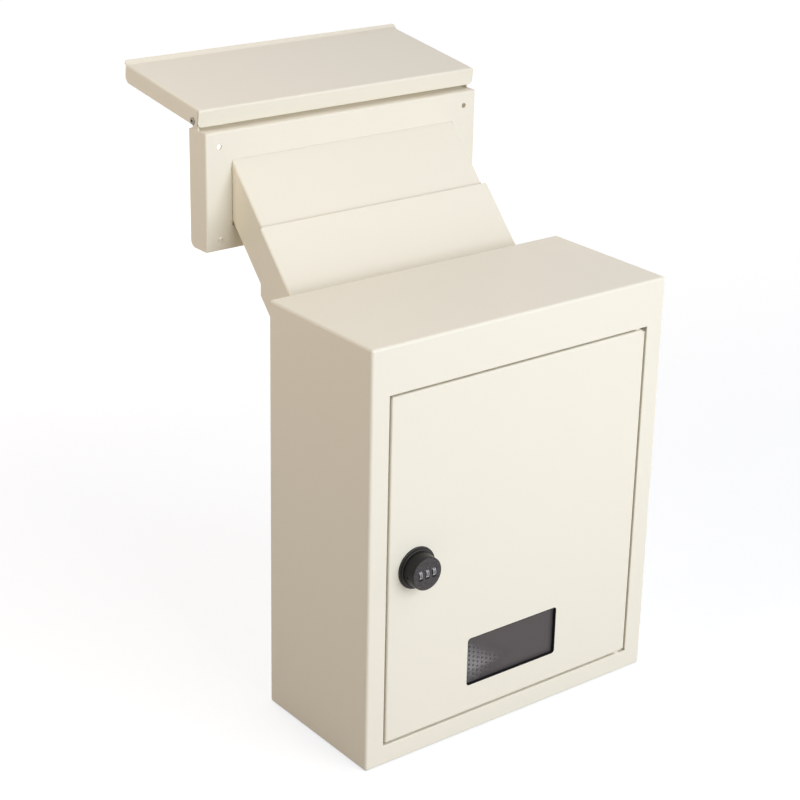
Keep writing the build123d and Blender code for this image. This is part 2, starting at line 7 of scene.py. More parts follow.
import bmesh
import bpy
import numpy as np
from bpy.types import Material, Mesh, Node, NodeSocket as Socket, NodeTree, Object
from mathutils import Euler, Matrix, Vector
from mathutils.geometry import delaunay_2d_cdt


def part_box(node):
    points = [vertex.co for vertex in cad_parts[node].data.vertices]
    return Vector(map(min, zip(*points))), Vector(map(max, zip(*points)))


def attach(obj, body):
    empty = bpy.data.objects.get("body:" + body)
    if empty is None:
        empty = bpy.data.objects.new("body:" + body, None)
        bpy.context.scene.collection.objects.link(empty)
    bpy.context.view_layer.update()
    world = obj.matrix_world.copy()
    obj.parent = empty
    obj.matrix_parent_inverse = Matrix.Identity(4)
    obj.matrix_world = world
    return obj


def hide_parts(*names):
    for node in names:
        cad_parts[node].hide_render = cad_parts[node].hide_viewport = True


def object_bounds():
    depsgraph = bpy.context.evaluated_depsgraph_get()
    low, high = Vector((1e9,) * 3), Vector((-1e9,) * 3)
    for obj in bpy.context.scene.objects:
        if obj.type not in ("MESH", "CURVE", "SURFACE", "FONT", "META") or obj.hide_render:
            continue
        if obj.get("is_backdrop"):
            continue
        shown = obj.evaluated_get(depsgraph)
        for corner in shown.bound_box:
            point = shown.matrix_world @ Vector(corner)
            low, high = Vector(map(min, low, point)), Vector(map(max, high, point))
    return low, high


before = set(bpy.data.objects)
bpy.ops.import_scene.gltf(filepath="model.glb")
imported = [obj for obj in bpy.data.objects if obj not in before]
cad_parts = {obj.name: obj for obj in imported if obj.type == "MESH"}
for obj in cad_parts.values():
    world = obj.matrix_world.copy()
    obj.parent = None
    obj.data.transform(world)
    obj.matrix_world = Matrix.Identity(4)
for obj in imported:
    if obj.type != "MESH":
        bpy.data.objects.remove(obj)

# Looks for the through-wall drop box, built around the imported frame. Metres, row frame: X right as seen
# from the room, Y from the room to the outdoors, Z up.

LOG = logging.getLogger("drop_box")
MM = 0.001
FULL_TURN = 2.0 * math.pi
TINY = 1e-9

# In a new mesh points nearer than the merge distance are one, and an edge sharper than the crease angle
# stays sharp.
MERGE_DISTANCE = 0.0001 * MM
CREASE_DEG = 35.0

# In a copy of a node triangles that lie flatter than the flat angle are joined, and edges sharper than
# the edge angle are bevelled, under paint by the paint round.
COPY_MERGE_DISTANCE = 0.001 * MM
FLAT_DEG = 0.4
EDGE_DEG = 40.0
ROUND_SEGMENTS = 2
PAINT_ROUND = 0.15 * MM

Colour = tuple[float, float, float]
Place = tuple[float, float, float]
Angles = tuple[float, float, float]


class Body(Enum):
    """The bodies that new pieces ride on, by their names in the frame."""

    INDOOR_BOX = "indoor_box"
    DOOR = "door"
    LOCK_CORE = "lock_core"
    LEFT_DIAL = "left_dial"
    MIDDLE_DIAL = "middle_dial"
    RIGHT_DIAL = "right_dial"
    OUTDOOR_UNIT = "outdoor_unit"
    LID = "lid"


class Dial(Enum):
    """The three number dials: node and body of each, left to right."""

    LEFT = ("dial_left", Body.LEFT_DIAL)
    MIDDLE = ("dial_middle", Body.MIDDLE_DIAL)
    RIGHT = ("dial_right", Body.RIGHT_DIAL)


class Slot(Enum):
    """The record's names for the finishes."""

    CREAM_PAINT = "cream_paint"
    BLACK_LOCK = "black_lock"
    DIAL_SILVER = "dial_silver"
    ZINC_STEEL = "zinc_steel"
    SMOKED_PANE = "smoked_pane"
    BLACK_RUBBER = "black_rubber"
    DARK_SCREEN = "dark_screen"


class Grain(Enum):
    """The way that the fine lines of a metal run, as the stretch of their noise along X, Y and Z."""

    ALONG_X = (4.0, 90.0, 90.0)
    EVEN = (40.0, 40.0, 40.0)


def linear(red: int, green: int, blue: int) -> Colour:
    """Turns a colour as seen on a screen, 0 to 255, into the linear values that the shaders work in.

    Args:
        red, green, blue: the three screen values.

    Returns:
        The three linear values, by the sRGB curve.
    """
    screen = np.array([red, green, blue], float) / 255.0
    low = screen / 12.92
    high = ((screen + 0.055) / 1.055) ** 2.4
    return tuple(float(value) for value in np.where(screen <= 0.04045, low, high))


class ShaderTree:
    """A material's, a world's or a node group's tree, with short ways to add and join its nodes."""

    def __init__(self, tree: NodeTree) -> None:
        """Keeps the tree and empties it."""
        self.tree = tree
        self.tree.nodes.clear()

    def add(self, kind: str, **values: object) -> Node:
        """Adds a node.

        Args:
            kind: the node's type name.
            values: properties of the node to set, by name.

        Returns:
            The new node.
        """
        node = self.tree.nodes.new(kind)
        for name, value in values.items():
            setattr(node, name, value)
        return node

    def set(self, node: Node, **values: object) -> Node:
        """Sets inputs of a node to plain values, by their names with underscores for spaces.

        Args:
            node: the node to set.
            values: the input values.

        Returns:
            The same node.
        """
        for name, value in values.items():
            node.inputs[name.replace("_", " ")].default_value = value
        return node

    def join(self, source: Socket, target: Socket) -> None:
        """Joins an output to an input."""
        self.tree.links.new(source, target)

    def put(self, value: Socket | float | Colour, target: Socket) -> None:
        """Gives an input its value.

        Args:
            value: the output to join to it, or a plain number or colour.
            target: the input.
        """
        if isinstance(value, Socket):
            self.join(value, target)
        elif isinstance(value, tuple):
            target.default_value = (*value, 1.0)
        else:
            target.default_value = value

    def math(self, operation: str, first: Socket | float, second: Socket | float = 0.0) -> Socket:
        """Adds a Math node.

        Args:
            operation: the Math node's operation.
            first, second: sockets or numbers. An operation on one value has no second.

        Returns:
            The node's output.
        """
        node = self.add("ShaderNodeMath", operation=operation)
        self.put(first, node.inputs[0])
        self.put(second, node.inputs[1])
        return node.outputs[0]

    def ramp(self, value: Socket, start: float, end: float, low: float, high: float) -> Socket:
        """Turns a value that runs from start to end into one that runs smoothly from low to high.

        Args:
            value: the socket to turn.
            start, end: where its change begins and ends.
            low, high: what it becomes there.

        Returns:
            The new value's socket.
        """
        node = self.add("ShaderNodeMapRange", interpolation_type="SMOOTHSTEP")
        self.join(value, node.inputs["Value"])
        self.set(node, From_Min=start, From_Max=end, To_Min=low, To_Max=high)
        return node.outputs["Result"]

    def blend(self, factor: Socket, first: Socket | Colour, second: Socket | Colour) -> Socket:
        """Mixes two colours by a factor.

        Args:
            factor: 0 for the first colour and 1 for the second.
            first, second: sockets or plain colours.

        Returns:
            The mixed colour's socket.
        """
        node = self.add("ShaderNodeMix", data_type="RGBA")
        factor_input, first_colour, second_colour = (node.inputs[number] for number in (0, 6, 7))
        self.join(factor, factor_input)
        self.put(first, first_colour)
        self.put(second, second_colour)
        return node.outputs[2]

    def noise(self, place: Socket, scale: Socket | float, detail: float, roughness: float) -> Socket:
        """Adds a noise.

        Args:
            place: the coordinates that it reads.
            scale: how fine it is.
            detail: how many finer layers it has.
            roughness: how strong those layers are.

        Returns:
            The noise's socket, about 0 to 1.
        """
        node = self.set(self.add("ShaderNodeTexNoise"), Detail=detail, Roughness=roughness)
        self.join(place, node.inputs["Vector"])
        self.put(scale, node.inputs["Scale"])
        return node.outputs["Fac"]

    def group(self, effect: NodeTree, **values: object) -> Node:
        """Places a shared effect in the tree with its own values, and returns its node."""
        return self.set(self.add("ShaderNodeGroup", node_tree=effect), **values)

    def object_place(self) -> Socket:
        """Returns the Object coordinates, which for every finished piece are the row frame's metres."""
        return self.add("ShaderNodeTexCoord").outputs["Object"]

    def object_axes(self) -> tuple[Socket, Socket, Socket]:
        """Splits the Object coordinates.

        Returns:
            Their X, Y and Z.
        """
        parts = self.add("ShaderNodeSeparateXYZ")
        self.join(self.object_place(), parts.inputs[0])
        return parts.outputs[0], parts.outputs[1], parts.outputs[2]


class Effect(ShaderTree):
    """A new shader node group with its named sockets."""

    def __init__(self, name: str, inputs: dict[str, str], outputs: dict[str, str]) -> None:
        """Makes the group.

        Args:
            name: the group's name.
            inputs, outputs: the socket type of each input and output.
        """
        super().__init__(bpy.data.node_groups.new(name, "ShaderNodeTree"))
        for way, sockets in (("INPUT", inputs), ("OUTPUT", outputs)):
            for socket, kind in sockets.items():
                self.tree.interface.new_socket(socket, in_out=way, socket_type=kind)
        self.inlet = self.add("NodeGroupInput")
        self.outlet = self.add("NodeGroupOutput")


class EffectGroups:
    """The shader node groups that several materials share. Each is built once, on first use."""

    @cached_property
    def pebble(self) -> NodeTree:
        """The fine pebbled skin of a powder coat.

        Returns:
            A group that takes Scale and gives Height: three parts of noise at that scale and one part
            of noise at 2.7 times that scale.
        """
        fine_ratio, coarse_share = 2.7, 0.75
        effect = Effect("coat_pebble", {"Scale": "NodeSocketFloat"}, {"Height": "NodeSocketFloat"})
        scale = effect.inlet.outputs["Scale"]
        place = effect.object_place()
        coarse = effect.noise(place, scale, detail=2.0, roughness=0.55)
        fine = effect.noise(place, effect.math("MULTIPLY", scale, fine_ratio), detail=1.0, roughness=0.5)
        main = effect.math("MULTIPLY", coarse, coarse_share)
        extra = effect.math("MULTIPLY", fine, 1.0 - coarse_share)
        effect.join(effect.math("ADD", main, extra), effect.outlet.inputs["Height"])
        return effect.tree

    @cached_property
    def drift(self) -> NodeTree:
        """The slow change of tone over a painted or plated surface.

        Returns:
            A group that takes Color, Amount and Scale and gives Color: the colour times 1 plus Amount
            times a slow noise that runs from -0.5 to 0.5.
        """
        inputs = {"Color": "NodeSocketColor", "Amount": "NodeSocketFloat", "Scale": "NodeSocketFloat"}
        effect = Effect("tone_drift", inputs, {"Color": "NodeSocketColor"})
        colour, amount, scale = (effect.inlet.outputs[name] for name in inputs)
        noise = effect.noise(effect.object_place(), scale, detail=3.0, roughness=0.5)
        swing = effect.math("MULTIPLY", effect.math("SUBTRACT", noise, 0.5), amount)
        scaled = effect.add("ShaderNodeVectorMath", operation="SCALE")
        effect.join(colour, scaled.inputs[0])
        effect.join(effect.math("ADD", swing, 1.0), scaled.inputs["Scale"])
        effect.join(scaled.outputs["Vector"], effect.outlet.inputs["Color"])
        return effect.tree

    @cached_property
    def grain(self) -> NodeTree:
        """The fine lines of drawn, turned or rolled metal.

        Returns:
            A group that takes Stretch, the noise's scale along X, Y and Z, and gives Value from 0 to 1.
        """
        effect = Effect("metal_grain", {"Stretch": "NodeSocketVector"}, {"Value": "NodeSocketFloat"})
        stretched = effect.add("ShaderNodeVectorMath", operation="MULTIPLY")
        effect.join(effect.object_place(), stretched.inputs[0])
        effect.join(effect.inlet.outputs["Stretch"], stretched.inputs[1])
        lines = effect.noise(stretched.outputs["Vector"], 30.0, detail=2.0, roughness=0.6)
        effect.join(lines, effect.outlet.inputs["Value"])
        return effect.tree


EFFECTS = EffectGroups()


class Surface(ShaderTree):
    """A new material's tree, with its Principled BSDF joined to the output."""

    def __init__(self, name: str) -> None:
        """Makes the material and its two first nodes.

        Args:
            name: the material's name.
        """
        self.material = bpy.data.materials.new(name)
        self.material.use_nodes = True
        super().__init__(self.material.node_tree)
        self.bsdf = self.add("ShaderNodeBsdfPrincipled")
        output = self.add("ShaderNodeOutputMaterial")
        self.join(self.bsdf.outputs["BSDF"], output.inputs["Surface"])

    def feed(self, source: Socket, name: str) -> None:
        """Joins an output to an input of the Principled BSDF."""
        self.join(source, self.bsdf.inputs[name])

    def tone(self, colour: Colour, amount: float, scale: float) -> None:
        """Colours the surface, with a slow drift.

        Args:
            colour: the mean colour.
            amount: how far it drifts, as a share of itself.
            scale: how many changes there are to a metre, about.
        """
        drift = self.group(EFFECTS.drift, Color=(*colour, 1.0), Amount=amount, Scale=scale)
        self.feed(drift.outputs["Color"], "Base Color")

    def relief(self, height: Socket, distance: float, roughness: float, spread: float) -> None:
        """Raises the surface as bump, and spreads its roughness with the height.

        Args:
            height: the relief, from 0 to 1.
            distance: how high 1 stands over 0.
            roughness: the mean roughness.
            spread: how much rougher 1 is than 0.
        """
        bump = self.set(self.add("ShaderNodeBump"), Strength=1.0, Distance=distance)
        self.join(height, bump.inputs["Height"])
        self.feed(bump.outputs["Normal"], "Normal")
        swing = self.math("MULTIPLY", self.math("SUBTRACT", height, 0.5), spread)
        self.feed(self.math("ADD", swing, roughness), "Roughness")

    def pebbles(self, scale: float, height: float, roughness: float) -> None:
        """Gives the surface the pebbled skin.

        Args:
            scale: how many pebbles there are to a metre, about.
            height: how high they stand.
            roughness: the mean roughness.
        """
        skin = self.group(EFFECTS.pebble, Scale=scale)
        self.relief(skin.outputs["Height"], height, roughness, spread=0.16)


@dataclass(frozen=True)
class Finish:
    """What covers a surface. Its material is made on first use and shared after that."""

    name: str
    slot: Slot
    colour: Colour

    def material(self) -> Material:
        """Finds the finish's material, and makes it on first use.

        Returns:
            The material.
        """
        if self.name not in bpy.data.materials:
            self._cover(Surface(self.name))
        return bpy.data.materials[self.name]

    def _cover(self, surface: Surface) -> None:
        """Lays the finish on a new surface. Each kind of finish has its own way."""
        raise NotImplementedError


@dataclass(frozen=True)
class Coat(Finish):
    """One colour that drifts a little, on a fine pebbled skin: a baked powder coat, or matte rubber."""

    roughness: float
    pebble_scale: float
    pebble_height: float
    drift: float
    drift_scale: float = 9.0
    specular: float = 0.5

    def _cover(self, surface: Surface) -> None:
        """Lays the coat on a new surface.

        Args:
            surface: the surface.
        """
        surface.tone(self.colour, self.drift, self.drift_scale)
        surface.pebbles(self.pebble_scale, self.pebble_height, self.roughness)
        surface.set(surface.bsdf, Specular_IOR_Level=self.specular)


@dataclass(frozen=True)
class SpeckledBlack(Finish):
    """Satin black on the sides of the lock, with a speckled grey grain on the faces that look forward.

    The colour is that of the sides. The flecks show where a noise passes fleck_start, in full from
    fleck_end. The grain of the face ends between fade_start and fade_end behind face_y.
    """

    face: Colour
    fleck: Colour
    face_y: float
    fade_start: float = 0.1 * MM
    fade_end: float = 0.3 * MM
    fleck_scale: float = 1900.0
    fleck_start: float = 0.50
    fleck_end: float = 0.72
    roughness: float = 0.36
    pebble_scale: float = 2600.0
    pebble_height: float = 0.02 * MM
    specular: float = 0.3

    def _cover(self, surface: Surface) -> None:
        """Lays the black on a new surface.

        Args:
            surface: the surface.
        """
        noise = surface.noise(surface.object_place(), self.fleck_scale, detail=1.0, roughness=0.6)
        flecks = surface.ramp(noise, self.fleck_start, self.fleck_end, 0.0, 1.0)
        grained = surface.blend(flecks, self.face, self.fleck)
        depth = surface.object_axes()[1]
        behind = surface.ramp(depth, self.face_y + self.fade_start, self.face_y + self.fade_end, 0.0, 1.0)
        surface.feed(surface.blend(behind, grained, self.colour), "Base Color")
        surface.pebbles(self.pebble_scale, self.pebble_height, self.roughness)
        surface.set(surface.bsdf, Specular_IOR_Level=self.specular)


@dataclass(frozen=True)
class BareMetal(Finish):
    """Plated or satin metal with fine lines that break up its gloss."""

    roughness: float
    grain: Grain
    line_height: float = 0.004 * MM
    line_spread: float = 0.2
    drift: float = 0.10
    drift_scale: float = 60.0

    def _cover(self, surface: Surface) -> None:
        """Lays the metal on a new surface.

        Args:
            surface: the surface.
        """
        surface.tone(self.colour, self.drift, self.drift_scale)
        lines = surface.group(EFFECTS.grain, Stretch=self.grain.value)
        surface.relief(lines.outputs["Value"], self.line_height, self.roughness, self.line_spread)
        surface.set(surface.bsdf, Metallic=1.0)


@dataclass(frozen=True)
class SmokedSheet(Finish):
    """A smoked plastic sheet whose haze hides what is behind it, but for a painted light patch where it
    thins.

    The haze is thinnest round painted_light_x, painted_light_z and grows from painted_light_share of reach
    until it is full at reach. The way sideways and height_weight times the way upwards are added up, so the
    clear place is a lozenge. All of the haze lies on the front: what is behind middle_y is clear, so that it
    isn't counted twice.
    """

    painted_light_x: float
    painted_light_z: float
    reach: float
    thinnest: float
    middle_y: float
    height_weight: float = 1.4
    painted_light_share: float = 0.15
    front_fade: float = 0.1 * MM
    roughness: float = 0.34
    specular: float = 0.3
    drift: float = 0.05
    drift_scale: float = 25.0

    def _cover(self, surface: Surface) -> None:
        """Lays the smoke and the haze on a new surface.

        Args:
            surface: the surface.
        """
        surface.tone(self.colour, self.drift, self.drift_scale)
        # Painted light patch: the haze thins round one point, so the lit screen behind shows brighter there,
        # as if light fell on it.
        across, depth, up = surface.object_axes()
        aside = surface.math("ABSOLUTE", surface.math("SUBTRACT", across, self.painted_light_x))
        above = surface.math("ABSOLUTE", surface.math("SUBTRACT", up, self.painted_light_z))
        away = surface.math("ADD", aside, surface.math("MULTIPLY", above, self.height_weight))
        haze = surface.ramp(away, self.painted_light_share * self.reach, self.reach, self.thinnest, 1.0)
        fade_start, fade_end = self.middle_y - self.front_fade, self.middle_y + self.front_fade
        front = surface.ramp(depth, fade_start, fade_end, 1.0, 0.0)
        surface.feed(surface.math("MULTIPLY", haze, front), "Alpha")
        surface.set(surface.bsdf, Roughness=self.roughness, Specular_IOR_Level=self.specular)


CREAM = Coat("cream_powder_coat", Slot.CREAM_PAINT, linear(233, 227, 207), 0.42, 1000.0, 0.03 * MM, 0.02)
SCREEN_GREY = Coat("screen_grey_coat", Slot.DARK_SCREEN, linear(240, 237, 234), 0.5, 1500.0, 0.01 * MM, 0.08)
DIGIT_BLACK = Coat("digit_black_paint", Slot.BLACK_LOCK, linear(44, 42, 43), 0.5, 3000.0, 0.004 * MM, 0.1)
ROSETTE_BLACK = Coat(
    "rosette_satin_black", Slot.BLACK_LOCK, linear(36, 33, 28), 0.38, 2600.0, 0.01 * MM, 0.1, specular=0.35
)
SEAL_BLACK = Coat(
    "seal_black_rubber", Slot.BLACK_RUBBER, linear(18, 17, 17), 0.7, 3200.0, 0.01 * MM, 0.5, 160.0, 0.25
)
DIAL_SILVER = BareMetal("dial_silver_metal", Slot.DIAL_SILVER, linear(134, 132, 132), 0.5, Grain.ALONG_X)
ZINC = BareMetal("zinc_plated_steel", Slot.ZINC_STEEL, linear(178, 180, 184), 0.38, Grain.EVEN)
RIVET = BareMetal("rivet_dull_steel", Slot.ZINC_STEEL, linear(150, 145, 134), 0.5, Grain.EVEN)


def grid_faces(rows: int, columns: int, wrap_rows: bool, wrap_columns: bool) -> np.ndarray:
    """Numbers the quads of a grid of points that is stored row by row.

    Args:
        rows, columns: how many points there are each way.
        wrap_rows, wrap_columns: whether the last row or column joins the first.

    Returns:
        One row of four point numbers for each quad: the point, its neighbour along the row, the
        point beyond that in the next row, and its own neighbour in the next row.
    """
    down = np.arange(rows if wrap_rows else rows - 1)
    along = np.arange(columns if wrap_columns else columns - 1)
    row, column = np.meshgrid(down, along, indexing="ij")
    next_column = (column + 1) % columns
    here, there = row * columns, (row + 1) % rows * columns
    quad = (here + column, here + next_column, there + next_column, there + column)
    return np.stack([numbers.ravel() for numbers in quad], axis=1)


def rounded(profile: np.ndarray, radii: np.ndarray, steps: int) -> np.ndarray:
    """Rounds the corners of a closed profile.

    Args:
        profile: its corners, one row each.
        radii: the distance from each corner at which its round begins, 0 for a sharp corner.
        steps: how many points each round gets.

    Returns:
        The points of the rounded profile. Each round is the curve (1-t)^2 A + 2t(1-t) C + t^2 B, where C
        is the corner and A and B are where the round begins and ends.
    """
    before, after = np.roll(profile, 1, axis=0), np.roll(profile, -1, axis=0)
    to_before = (before - profile) / np.linalg.norm(before - profile, axis=1, keepdims=True)
    to_after = (after - profile) / np.linalg.norm(after - profile, axis=1, keepdims=True)
    start = profile + to_before * radii[:, None]
    end = profile + to_after * radii[:, None]
    t = np.linspace(0.0, 1.0, steps)[None, :, None]
    curve = (1 - t) ** 2 * start[:, None] + 2 * t * (1 - t) * profile[:, None] + t**2 * end[:, None]
    keep = np.ones((len(profile), steps), bool)
    keep[radii == 0, 1:] = False
    return curve[keep]


def shaded(name: str, mesh: Mesh, finish: Finish, crease_deg: float) -> Object:
    """Makes an object of a mesh, at the origin, covered and smooth but for its creases.

    Args:
        name: the object's name.
        mesh: its mesh, in the row frame.
        finish: what covers it.
        crease_deg: the angle between faces past which an edge stays sharp.

    Returns:
        The new object.
    """
    mesh.materials.clear()
    mesh.materials.append(finish.material())
    mesh.shade_smooth()
    mesh.set_sharp_from_angle(angle=math.radians(crease_deg))
    piece = bpy.data.objects.new(name, mesh)
    bpy.context.scene.collection.objects.link(piece)
    return piece


def seat(piece: Object, body: Body, finish: Finish, *nodes: str) -> None:
    """Makes a piece ride on a body, hides the nodes that it stands for, and reports it.

    Args:
        piece: the new piece.
        body: the body that it rides on.
        finish: what covers it; not used.
        nodes: the nodes that it replaces, or none.
    """
    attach(piece, body.value)
    if nodes:
        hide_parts(*nodes)
    LOG.info("%s rides on %s, %d faces", piece.name, body.value, len(piece.data.polygons))


def dress(finish: Finish, *nodes: str) -> None:
    """Covers nodes of the frame with one finish, in every slot of their objects, and reports them.

    Args:
        finish: what covers them.
        nodes: the nodes.
    """
    material = finish.material()
    for node in nodes:
        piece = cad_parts[node]
        if not piece.material_slots:
            piece.data.materials.append(material)
        for slot in piece.material_slots:
            slot.material = material
    LOG.info("%s covers %s", finish.name, ", ".join(nodes))


def softened(node: str, body: Body, finish: Finish, width: float) -> None:
    """Replaces a node by a copy whose edges have a small round, as filing, pressing or plating leaves.

    The copy's triangles are merged and joined into flat faces and then bevelled.

    Args:
        node: the node to copy and stand for.
        body: the body that it rides on.
        finish: what covers it.
        width: the round's width.
    """
    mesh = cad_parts[node].data.copy()
    shell = bmesh.new()
    shell.from_mesh(mesh)
    bmesh.ops.remove_doubles(shell, verts=shell.verts, dist=COPY_MERGE_DISTANCE)
    bmesh.ops.dissolve_limit(shell, angle_limit=math.radians(FLAT_DEG), verts=shell.verts, edges=shell.edges)
    shell.to_mesh(mesh)
    shell.free()
    piece = shaded(node + "_soft", mesh, finish, CREASE_DEG)
    bevel = piece.modifiers.new("edge_round", "BEVEL")
    bevel.width = width
    bevel.segments = ROUND_SEGMENTS
    bevel.limit_method = "ANGLE"
    bevel.angle_limit = math.radians(EDGE_DEG)
    weights = piece.modifiers.new("face_normals", "WEIGHTED_NORMAL")
    weights.keep_sharp = True
    seat(piece, body, finish, node)


class MeshParts:
    """Points and faces gathered from several closed shells, for one mesh."""

    def __init__(self) -> None:
        """Starts empty."""
        self._points: list[np.ndarray] = []
        self._faces: list[list[int]] = []
        self._count = 0

    def add(self, points: np.ndarray, faces: list[np.ndarray]) -> None:
        """Adds one shell.

        Args:
            points: its points, one row each.
            faces: arrays of its faces, each array with faces of one length.
        """
        for group in faces:
            self._faces += (group + self._count).tolist()
        self._points.append(points)
        self._count += len(points)

    def add_turned(
        self, axis: tuple[float, float], along: np.ndarray, radius: np.ndarray, hollow: bool
    ) -> None:
        """Adds a turned shape whose axis runs along Y.

        X is the axis's X plus the radius times the angle's cosine, and Z likewise with its sine, at
        equal angles round the circle.

        Args:
            axis: the axis's X and Z.
            along: the Y of each row of the profile.
            radius: the radius at each row and angle, one row each and one column for each angle.
            hollow: whether the last row joins the first, round a bore. Otherwise one more row at each
                end, with all its points on the axis, closes the shape.
        """
        if not hollow:
            radius = np.pad(radius, ((1, 1), (0, 0)))
            along = np.pad(along, 1, mode="edge")
        angle = np.linspace(0.0, FULL_TURN, radius.shape[1], endpoint=False)
        x = axis[0] + radius * np.cos(angle)
        z = axis[1] + radius * np.sin(angle)
        y = np.broadcast_to(along[:, None], radius.shape)
        points = np.stack([x.ravel(), y.ravel(), z.ravel()], axis=1)
        self.add(points, [grid_faces(*radius.shape, hollow, True)])

    def piece(self, name: str, finish: Finish, crease_deg: float = CREASE_DEG) -> Object:
        """Makes the object, with its faces outward.

        Args:
            name: the object's name.
            finish: what covers it.
            crease_deg: the angle between faces past which an edge stays sharp.

        Returns:
            The new object.
        """
        mesh = bpy.data.meshes.new(name)
        mesh.from_pydata(np.concatenate(self._points).tolist(), [], self._faces)
        shell = bmesh.new()
        shell.from_mesh(mesh)
        bmesh.ops.remove_doubles(shell, verts=shell.verts, dist=MERGE_DISTANCE)
        bmesh.ops.recalc_face_normals(shell, faces=shell.faces)
        shell.to_mesh(mesh)
        shell.free()
        return shaded(name, mesh, finish, crease_deg)


@dataclass
class IndoorBox:
    """The box on the room side of the wall: shell, back panel and the chute's outer sleeve."""

    nodes: tuple[str, ...] = ("box_shell", "back_panel", "lower_chute")
    edge: float = PAINT_ROUND

    def build(self) -> None:
        """Rounds the sheets' cut edges as the paint does."""
        for node in self.nodes:
            softened(node, Body.INDOOR_BOX, CREAM, self.edge)


@dataclass
class Door:
    """The door's folded tray and the two pins that it swings on, painted with the frame they sit in."""

    edge: float = PAINT_ROUND

    def build(self) -> None:
        """Rounds the cut edges of the door and of its pins."""
        softened("door_panel", Body.DOOR, CREAM, self.edge)
        softened("door_hinge_pins", Body.INDOOR_BOX, CREAM, self.edge)


@dataclass
class DoorWindow:
    """The smoked window in the door: seal, pane, perforated screen, frame, studs and nuts."""

    sight_width: float = 80.0 * MM
    sight_height: float = 36.0 * MM
    # Where the painted light patch on the pane lies: in from the left edge and up from the bottom of the
    # sight.
    painted_light_in: float = 3.0 * MM
    painted_light_up: float = 12.0 * MM
    haze_reach: float = 47.0 * MM
    thinnest_haze: float = 0.55
    corner: float = 2.0 * MM
    corner_steps: int = 7
    hole_radius: float = 0.85 * MM
    hole_steps: int = 14
    pitch_x: float = 3.9 * MM
    pitch_z: float = 3.5 * MM
    stud_radius: float = 1.5 * MM
    stud_steps: int = 24
    stud_tip_share: float = 0.7
    thread_pitch: float = 0.5 * MM
    thread_depth: float = 0.27 * MM
    thread_rows: int = 6
    thread_crease_deg: float = 50.0
    nut_round: float = 0.25 * MM

    def build(self) -> None:
        """Builds the screen and the threads and dresses the rest."""
        dress(self._pane(), "window_pane")
        dress(SEAL_BLACK, "window_gasket")
        dress(SCREEN_GREY, "window_retainer")
        self._screen()
        self._studs()
        softened("window_nuts", Body.DOOR, ZINC, self.nut_round)

    def _pane(self) -> SmokedSheet:
        """Finds the pane's finish, whose haze thins to a painted light patch a little in from the left edge
        and up from the bottom.

        Returns:
            The finish, placed on the frame's pane. The window lies on the middle of the box, X 0.
        """
        low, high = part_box("window_pane")
        return SmokedSheet(
            name="smoked_pane_plastic",
            slot=Slot.SMOKED_PANE,
            colour=linear(77, 71, 69),
            painted_light_x=-0.5 * self.sight_width + self.painted_light_in,
            painted_light_z=0.5 * (low.z + high.z) - 0.5 * self.sight_height + self.painted_light_up,
            reach=self.haze_reach,
            thinnest=self.thinnest_haze,
            middle_y=0.5 * (low.y + high.y),
        )

    def _outline(self, half_x: float, half_z: float) -> np.ndarray:
        """Finds the points of a rounded rectangle about the origin.

        Args:
            half_x, half_z: half its width and half its height.

        Returns:
            The points anticlockwise: for each corner a quarter circle about a centre that lies the
            corner's radius in from both sides.
        """
        steps = self.corner_steps
        start = np.array([0.0, 0.25, 0.5, 0.75]) * FULL_TURN
        angle = (start[:, None] + np.linspace(0.0, 0.25 * FULL_TURN, steps)[None, :]).ravel()
        centre_x = np.repeat(np.array([1.0, -1.0, -1.0, 1.0]) * (half_x - self.corner), steps)
        centre_z = np.repeat(np.array([1.0, 1.0, -1.0, -1.0]) * (half_z - self.corner), steps)
        x = centre_x + self.corner * np.cos(angle)
        z = centre_z + self.corner * np.sin(angle)
        return np.stack([x, z], axis=1)

    def _hole_centres(self) -> np.ndarray:
        """Finds the centres of the screen's holes.

        Returns:
            The centres about the window's middle, as far as the sight goes: columns pitch_x apart with
            holes pitch_z apart, and every other column half a pitch_z up and one hole shorter.
        """
        half_columns = int(0.5 * self.sight_width / self.pitch_x)
        half_rows = int(0.5 * self.sight_height / self.pitch_z)
        columns = np.arange(-half_columns, half_columns + 1)
        rows = np.arange(-half_rows, half_rows + 1)
        column, row = np.meshgrid(columns, rows, indexing="ij")
        odd = column % 2 != 0
        keep = ~(odd & (row == half_rows))
        x = column * self.pitch_x
        z = (row + 0.5 * odd) * self.pitch_z
        return np.stack([x[keep], z[keep]], axis=1)

    def _pierced(self, outline: np.ndarray) -> tuple[np.ndarray, np.ndarray, np.ndarray]:
        """Fills the screen's outline with triangles, around its holes.

        A triangle is left out where its middle lies nearer to a hole's centre than the hole's sides do,
        within a thousandth.

        Args:
            outline: the outline's points, in turn.

        Returns:
            The points, the triangles and the edges of the outline and of every hole.
        """
        centres = self._hole_centres()
        angle = np.linspace(0.0, FULL_TURN, self.hole_steps, endpoint=False)
        ring = self.hole_radius * np.stack([np.cos(angle), np.sin(angle)], axis=1)
        holes = (centres[:, None, :] + ring[None, :, :]).reshape(-1, 2)
        rim = np.arange(len(outline))
        around = len(outline) + np.arange(len(holes)).reshape(len(centres), self.hole_steps)
        rim_edges = np.stack([rim, np.roll(rim, -1)], axis=1)
        hole_edges = np.stack([around, np.roll(around, -1, axis=1)], axis=2).reshape(-1, 2)
        edges = np.concatenate([rim_edges, hole_edges])
        flat = np.concatenate([outline, holes]).tolist()
        inside_only = 1
        filled = delaunay_2d_cdt(flat, edges.tolist(), [rim.tolist()], inside_only, TINY)
        points, triangles = np.array(filled[0]), np.array(filled[2])
        middles = points[triangles].mean(axis=1)
        distance = np.linalg.norm(middles[:, None, :] - centres[None, :, :], axis=2).min(axis=1)
        to_side = self.hole_radius * math.cos(math.pi / self.hole_steps)
        return points, triangles[distance > 0.999 * to_side], edges

